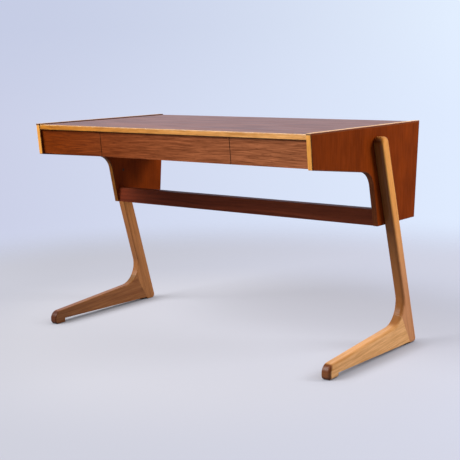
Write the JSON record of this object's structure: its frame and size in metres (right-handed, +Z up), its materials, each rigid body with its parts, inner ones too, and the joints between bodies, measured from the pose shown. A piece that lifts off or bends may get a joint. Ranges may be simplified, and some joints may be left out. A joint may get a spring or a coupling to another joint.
{
  "type": "writing desk",
  "caption": "Teak writing desk with a row of handle-less drawers, flag-shaped side panels edged in oak, a stretcher rail and slanting solid oak legs with long feet",
  "frame": {"origin": "on the floor under the middle of the desk", "axes": "+X along the desk to the right of a person who sits at it, +Y from the front to the back, +Z up"},
  "size_m": [1.198, 0.642, 0.725],
  "materials": {
    "teak_panel": "oiled teak veneer on board, satin",
    "teak_solid": "oiled solid teak, satin",
    "oak_edge": "oiled oak edge strip, satin",
    "oak_leg": "oiled solid oak, satin",
    "beech": "plain planed beech",
    "drawer_box_wood": "lacquered hardwood",
    "drawer_bottom_board": "lacquered thin plywood",
    "screw_steel": "plain steel wood screw",
    "glide_black": "black plastic glide"
  },
  "bodies": {
    "desk": {"desk_top": "teak_panel", "side_panel_left": "teak_panel", "side_panel_right": "teak_panel", "bottom_band_left": "teak_panel", "bottom_band_right": "teak_panel", "rear_band_left": "teak_panel", "rear_band_right": "teak_panel", "back_panel": "teak_panel", "divider_left": "teak_panel", "divider_right": "teak_panel", "top_rear_lipping": "teak_panel", "stretcher_rail": "teak_solid", "top_front_lipping": "oak_edge", "front_strip_left": "oak_edge", "top_strip_left": "oak_edge", "bent_strip_left": "oak_edge", "front_strip_right": "oak_edge", "top_strip_right": "oak_edge", "bent_strip_right": "oak_edge", "leg_upright_left": "oak_leg", "foot_left": "oak_leg", "leg_upright_right": "oak_leg", "foot_right": "oak_leg", "runner_left_left": "beech", "runner_left_right": "beech", "runner_middle_left": "beech", "runner_middle_right": "beech", "runner_right_left": "beech", "runner_right_right": "beech", "drawer_stops": "beech", "top_dowels": "beech", "back_dowels": "beech", "rail_dowels": "beech", "divider_dowels": "beech", "foot_dowels_left": "beech", "foot_dowels_right": "beech", "leg_screws_left": "screw_steel", "leg_screws_right": "screw_steel", "runner_screws": "screw_steel", "heel_glide_left": "glide_black", "heel_glide_right": "glide_black"},
    "drawer_left": {"drawer_left_front": "teak_solid", "drawer_left_side_left": "drawer_box_wood", "drawer_left_side_right": "drawer_box_wood", "drawer_left_bottom": "drawer_bottom_board", "drawer_left_back": "drawer_box_wood"},
    "drawer_middle": {"drawer_middle_front": "teak_solid", "drawer_middle_side_left": "drawer_box_wood", "drawer_middle_side_right": "drawer_box_wood", "drawer_middle_bottom": "drawer_bottom_board", "drawer_middle_back": "drawer_box_wood"},
    "drawer_right": {"drawer_right_front": "teak_solid", "drawer_right_side_left": "drawer_box_wood", "drawer_right_side_right": "drawer_box_wood", "drawer_right_bottom": "drawer_bottom_board", "drawer_right_back": "drawer_box_wood"}
  },
  "joints": [
    {"name": "drawer_left_slide", "type": "slide", "parent": "desk", "child": "drawer_left", "axis": [0, -1, 0], "range_m": [0, 0.38]},
    {"name": "drawer_middle_slide", "type": "slide", "parent": "desk", "child": "drawer_middle", "axis": [0, -1, 0], "range_m": [0, 0.38]},
    {"name": "drawer_right_slide", "type": "slide", "parent": "desk", "child": "drawer_right", "axis": [0, -1, 0], "range_m": [0, 0.38]}
  ]
}
